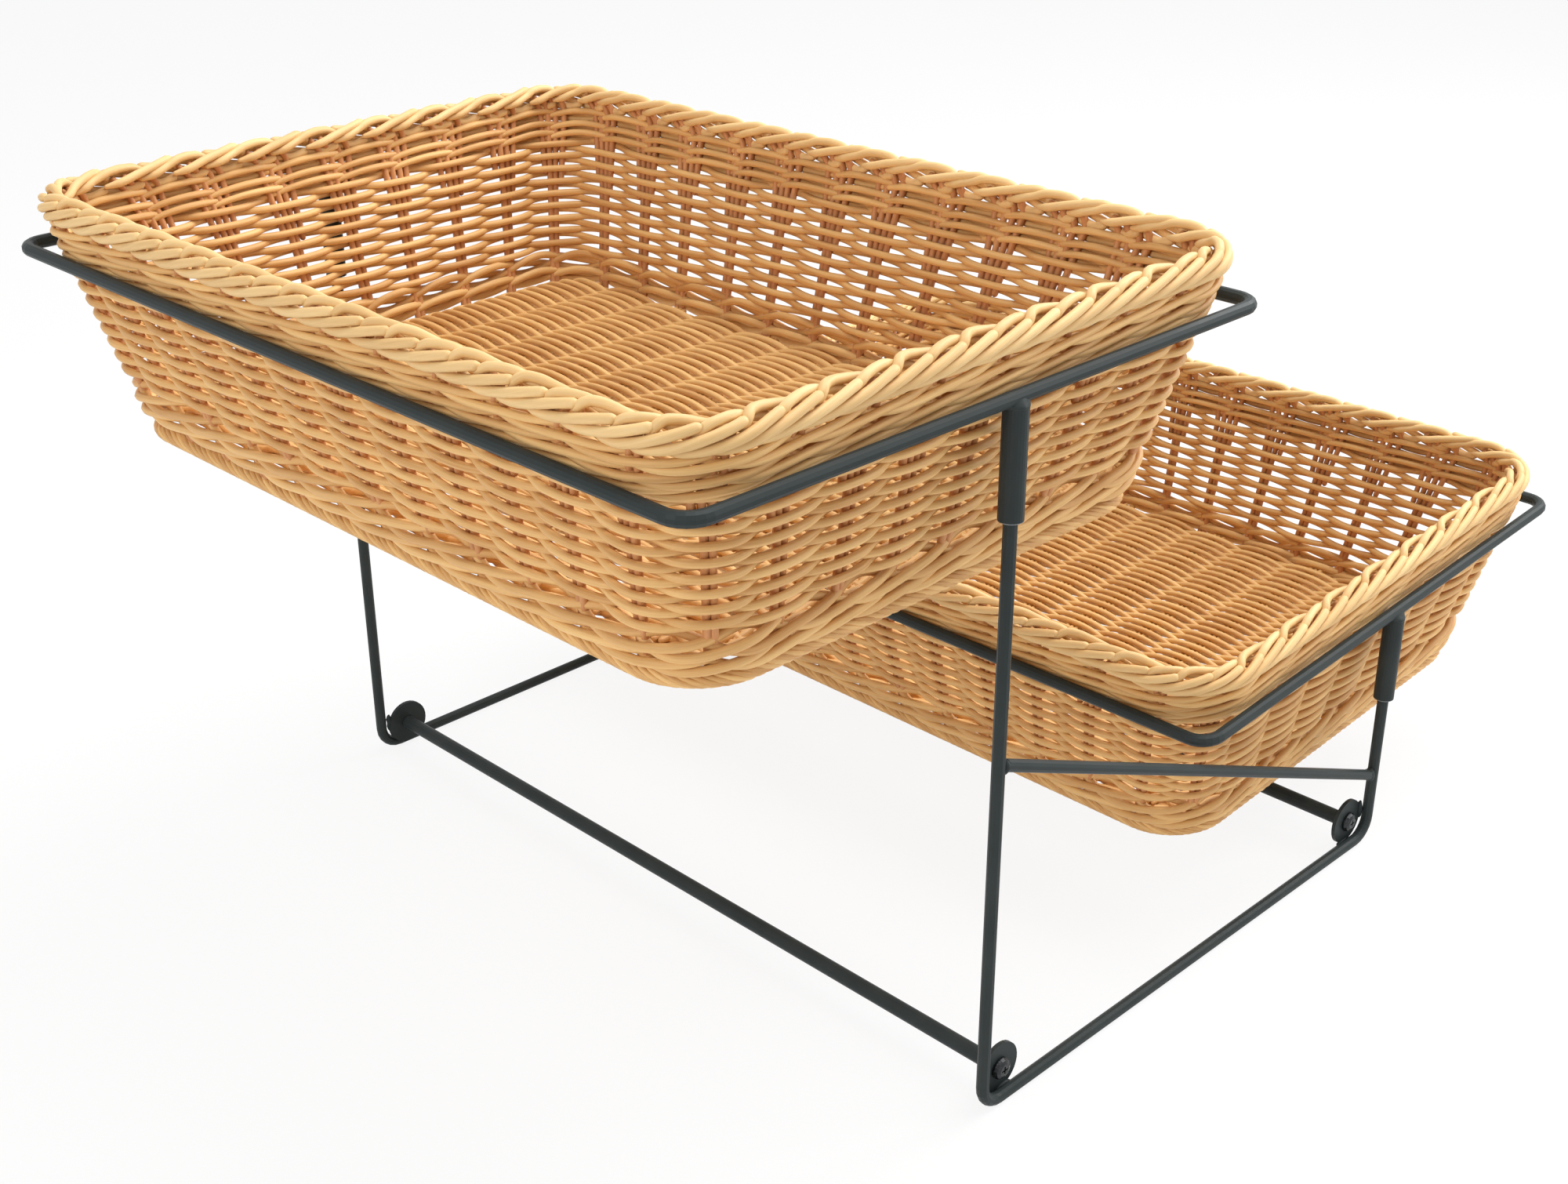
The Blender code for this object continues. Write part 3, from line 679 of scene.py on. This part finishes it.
def add_border(tier, seed):
    """The outer strands and the loops over the top, two of each to a bundle."""
    rng = np.random.default_rng(seed)
    bundle = np.repeat(np.arange(BUNDLES), 2)[:, None]
    second = np.tile([0, 1], BUNDLES)[:, None]
    starts = bundle + np.array(BORDER_PAIR_STARTS)[second]
    tips = bundle + BORDER_RUN + 0.5 * second + rng.uniform(-0.035, 0.035, bundle.shape)
    share = np.linspace(0, 1, 30)[None]
    turn = BORDER_FIRST_TURN + (BORDER_LAST_TURN - BORDER_FIRST_TURN) * share
    turn = np.radians(turn + rng.uniform(-4, 4, bundle.shape) * share)
    reach = (RIM_WIDTH - BORDER_THICKNESS) / 2 * (1 - 0.35 * np.clip((0.12 - share) / 0.12, 0, 1))
    places = starts + (tips - starts) * share
    points, way = round_rim(places, turn, reach)
    middle = round_rim(places, turn, reach * 0)[0]
    piece = add_canes(f"{tier}_basket_border", tier, points, points - middle + way * 1e-6,
                      BORDER_THICKNESS, border_painted_light_cane, sides=12, seed=seed)
    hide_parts(f"{tier}_basket_rim")

    share = np.linspace(0, 1, LOOP_SAMPLES)[None]
    turn = np.radians(np.where(second == 0, eased(STEEP_TURNS), eased(LONG_TURNS)))
    reach = (RIM_WIDTH - LOOP_THICKNESS) / 2 * np.where(second == 0, eased(STEEP_REACH),
                                                        eased(LONG_REACH))
    places = tips + LOOP_RUN * share
    points, way = round_rim(places, turn, reach)
    middle = round_rim(places, turn, reach * 0)[0]
    thickness = LOOP_THICKNESS * (1 - 0.45 * np.clip((share - 0.86) / 0.14, 0, 1))
    return add_canes(f"{tier}_basket_border_loops", tier, points, points - middle + way * 1e-6,
                     thickness, border_painted_light_cane, sides=10, seed=seed + 1)


for tier in BASKETS:
    add_border(tier, 41)

# Foot. A tight rope runs round the floor's edge, laid the other way from the
# border. Each of its three strands is three canes side by side.
FOOT_THICKNESS = 0.0027
FOOT_REACH = 0.0028
FOOT_SPREAD = math.radians(38)
FOOT_MIDDLE = -0.0900
FOOT_INSET = 0.0045
FOOT_TURNS = 28
FOOT_STEPS = 14
FOOT_STRANDS = 3
FOOT_FLATTENING = 0.9


def add_foot(tier, seed):
    share = np.arange(FOOT_TURNS * FOOT_STEPS)[None] / (FOOT_TURNS * FOOT_STEPS)
    strand, beside = np.divmod(np.arange(FOOT_STRANDS * 3)[:, None], 3)
    turn = -math.tau * (FOOT_TURNS * share - strand / FOOT_STRANDS) + FOOT_SPREAD * (beside - 1)
    height = FOOT_MIDDLE + FOOT_FLATTENING * FOOT_REACH * np.sin(turn)
    points, way = on_basket(share * AROUND, height, FOOT_INSET - FOOT_REACH * np.cos(turn),
                            shape_height=FOOT_MIDDLE)
    piece = add_canes(f"{tier}_basket_foot_rope", tier, points, way, FOOT_THICKNESS, cane,
                      closed=True, seed=seed)
    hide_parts(f"{tier}_basket_foot")
    return piece


for tier in BASKETS:
    add_foot(tier, 53)

# Floor. Canes along the basket's length weave over and under eleven bundles
# that cross it, dive at the wall, and lie on a twisted pair round its edge.
FLOOR_MIDDLE = -0.0751
FLOOR_CANE = 0.0035
FLOOR_PITCH = 0.0037
FLOOR_ROWS = 75
FLOOR_BUNDLE_PITCH = 0.0367
FLOOR_DEPTH = 0.0026
FLOOR_DIVE = 0.0035
FLOOR_DIVE_RUN = 0.011
FLOOR_SAMPLES = 120
FLOOR_STAKE = 0.0028
FLOOR_STAKE_PLACES = (-0.0032, 0.0, 0.0032)
FLOOR_EDGE_DROP = 0.0018
FLOOR_EDGE_INSET = 0.0128
FLOOR_EDGE_REACH = (0.0014, 0.0012)
FLOOR_EDGE_TURNS = 40
FLOOR_EDGE_STEPS = 12
floor_low, floor_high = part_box("upper_basket_floor")
FLOOR_HALF_LONG = (floor_high.x - floor_low.x) / 2 - 0.001
FLOOR_HALF_SHORT = (floor_high.y - floor_low.y) / 2
FLOOR_CORNER = 0.029


def floor_reach(offset, half_length, half_width):
    """How far a cane reaches either way at an offset across the rounded floor."""
    over = np.clip(np.abs(offset) - (half_width - FLOOR_CORNER), 0, FLOOR_CORNER)
    return half_length - FLOOR_CORNER + np.sqrt(FLOOR_CORNER ** 2 - over ** 2)


def add_floor(tier, seed):
    """The floor's canes, the stakes that they pass, and the twisted pair at the edge."""
    rng = np.random.default_rng(seed)
    y = (np.arange(FLOOR_ROWS) - (FLOOR_ROWS - 1) / 2)[:, None] * FLOOR_PITCH
    reach = floor_reach(y, FLOOR_HALF_LONG, FLOOR_HALF_SHORT)
    x = np.linspace(-1, 1, FLOOR_SAMPLES)[None] * reach
    sign = np.where(np.arange(FLOOR_ROWS)[:, None] % 2 == 0, 1.0, -1.0)
    wave = np.tanh(1.2 * np.cos(math.pi * x / FLOOR_BUNDLE_PITCH)) / np.tanh(1.2)
    dive = FLOOR_DIVE * np.clip(1 - (reach - np.abs(x)) / FLOOR_DIVE_RUN, 0, 1) ** 2
    y = y + 0.0003 * np.sin(x * 31 + rng.uniform(0, math.tau, y.shape))
    height = FLOOR_MIDDLE + FLOOR_DEPTH * sign * wave - dive
    points = np.stack(np.broadcast_arrays(x, y, height), -1)
    piece = add_canes(f"{tier}_basket_floor_weave", tier, points, (0, 0, 1), FLOOR_CANE, cane,
                      sides=8, seed=seed)
    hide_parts(f"{tier}_basket_floor")

    middles = np.arange(-5, 6) * FLOOR_BUNDLE_PITCH
    x = (middles[:, None] + np.array(FLOOR_STAKE_PLACES)).reshape(-1, 1)
    reach = floor_reach(x, FLOOR_HALF_SHORT, FLOOR_HALF_LONG)
    y = np.linspace(-1, 1, 24)[None] * reach
    points = np.stack(np.broadcast_arrays(x, y, np.full(y.shape, FLOOR_MIDDLE)), -1)
    add_canes(f"{tier}_basket_floor_stakes", tier, points, (0, 0, 1), FLOOR_STAKE, cane,
              seed=seed + 1)

    steps = FLOOR_EDGE_TURNS * FLOOR_EDGE_STEPS
    share = np.arange(steps)[None] / steps
    turn = math.tau * (FLOOR_EDGE_TURNS * share + np.arange(2)[:, None] / 2)
    middle = FLOOR_MIDDLE - FLOOR_EDGE_DROP
    points, way = on_basket(share * AROUND, middle + FLOOR_EDGE_REACH[1] * np.sin(turn),
                            FLOOR_EDGE_INSET - FLOOR_EDGE_REACH[0] * np.cos(turn),
                            shape_height=middle)
    return add_canes(f"{tier}_basket_floor_edge", tier, points, way, FLOOR_CANE, cane, closed=True,
                     seed=seed + 2)


for tier in BASKETS:
    add_floor(tier, 61)

# Studio: a pale floor that keeps a faint shadow, a white surround, a large
# soft lamp overhead and smaller ones behind, in front and on the right.
STUDIO_FLOOR_SIZE = 12.0
STUDIO_FLOOR_GREY = (0.86, 0.86, 0.86)
STUDIO_FLOOR_WHITE_SHARE = 0.88
SURROUND_STRENGTH = 0.45
LAMP_TARGET = (0, 0, 0.2)


def add_studio_floor():
    mesh = bpy.data.meshes.new("studio_floor")
    half = STUDIO_FLOOR_SIZE / 2
    mesh.from_pydata([(-half, -half, 0), (half, -half, 0), (half, half, 0), (-half, half, 0)], [],
                     [(0, 1, 2, 3)])
    floor = bpy.data.objects.new("studio_floor", mesh)
    bpy.context.scene.collection.objects.link(floor)
    material, tree, shader, node = new_material("pale_floor")
    shader.inputs["Base Color"].default_value = (*STUDIO_FLOOR_GREY, 1)
    shader.inputs["Roughness"].default_value = 0.9
    shader.inputs["Specular IOR Level"].default_value = 0.0
    white = node("ShaderNodeEmission", Color=(1, 1, 1, 1), Strength=1.0)
    rays = node("ShaderNodeLightPath")
    camera_or_gloss = node("ShaderNodeMath", {"operation": "MAXIMUM"},
                           _0=rays.outputs["Is Camera Ray"], _1=rays.outputs["Is Glossy Ray"])
    seen = node("ShaderNodeMath", {"operation": "MAXIMUM"}, _0=camera_or_gloss.outputs[0],
                _1=rays.outputs["Is Transmission Ray"])
    share = node("ShaderNodeMath", {"operation": "MULTIPLY"}, _0=seen.outputs[0],
                 _1=STUDIO_FLOOR_WHITE_SHARE)
    mix = node("ShaderNodeMixShader", Fac=share.outputs[0], _1=shader.outputs[0],
               _2=white.outputs[0])
    tree.links.new(mix.outputs[0], tree.nodes["Material Output"].inputs["Surface"])
    mesh.materials.append(material)


add_studio_floor()

world = bpy.data.worlds.new("studio_surround")
bpy.context.scene.world = world
world.use_nodes = True
nodes, links = world.node_tree.nodes, world.node_tree.links
nodes.clear()
surround = nodes.new("ShaderNodeBackground")
surround.inputs["Color"].default_value = (1, 1, 1, 1)
surround.inputs["Strength"].default_value = SURROUND_STRENGTH
seen = nodes.new("ShaderNodeBackground")
seen.inputs["Color"].default_value = (1, 1, 1, 1)
seen.inputs["Strength"].default_value = 1.0
rays = nodes.new("ShaderNodeLightPath")
camera_or_gloss = nodes.new("ShaderNodeMath")
camera_or_gloss.operation = "MAXIMUM"
links.new(rays.outputs["Is Camera Ray"], camera_or_gloss.inputs[0])
links.new(rays.outputs["Is Glossy Ray"], camera_or_gloss.inputs[1])
any_seen = nodes.new("ShaderNodeMath")
any_seen.operation = "MAXIMUM"
links.new(camera_or_gloss.outputs[0], any_seen.inputs[0])
links.new(rays.outputs["Is Transmission Ray"], any_seen.inputs[1])
choice = nodes.new("ShaderNodeMixShader")
links.new(any_seen.outputs[0], choice.inputs[0])
links.new(surround.outputs[0], choice.inputs[1])
links.new(seen.outputs[0], choice.inputs[2])
world_out = nodes.new("ShaderNodeOutputWorld")
links.new(choice.outputs[0], world_out.inputs[0])


def add_lamp(name, place, size, power):
    lamp = bpy.data.lights.new(name, "AREA")
    lamp.shape = "SQUARE"
    lamp.size = size
    lamp.energy = power
    holder = bpy.data.objects.new(name, lamp)
    bpy.context.scene.collection.objects.link(holder)
    holder.location = place
    aim = Vector(LAMP_TARGET) - Vector(place)
    holder.rotation_euler = aim.to_track_quat("-Z", "Y").to_euler()


add_lamp("overhead_softbox", (-0.3, -0.5, 2.2), 1.5, 41.0)
add_lamp("rear_softbox", (-0.1, 2.1, 0.9), 1.0, 14.5)
add_lamp("right_softbox", (-1.6, -1.7, 1.0), 0.8, 12.0)
add_lamp("front_softbox", (-0.4, -1.8, 1.5), 1.0, 29.0)

# Camera, where the photograph was taken from. Its place, turn and lens come
# from a fit of the stand's wires to the photograph.
CAMERA_PLACE = (-0.71455, 0.76698, 0.63461)
CAMERA_RIGHT = Vector((-0.70605, -0.70816, -0.00239))
CAMERA_UP = Vector((0.30442, -0.30656, 0.90186))
camera = bpy.data.cameras.new("photo_camera")
camera.lens = 47.173
camera.sensor_width = 36.0
photo_camera = bpy.data.objects.new("photo_camera", camera)
bpy.context.scene.collection.objects.link(photo_camera)
turn = Matrix((CAMERA_RIGHT, CAMERA_UP, CAMERA_RIGHT.cross(CAMERA_UP))).transposed()
photo_camera.matrix_world = Matrix.Translation(CAMERA_PLACE) @ turn.to_4x4()
bpy.context.scene.camera = photo_camera
bpy.context.scene.view_settings.view_transform = "Standard"
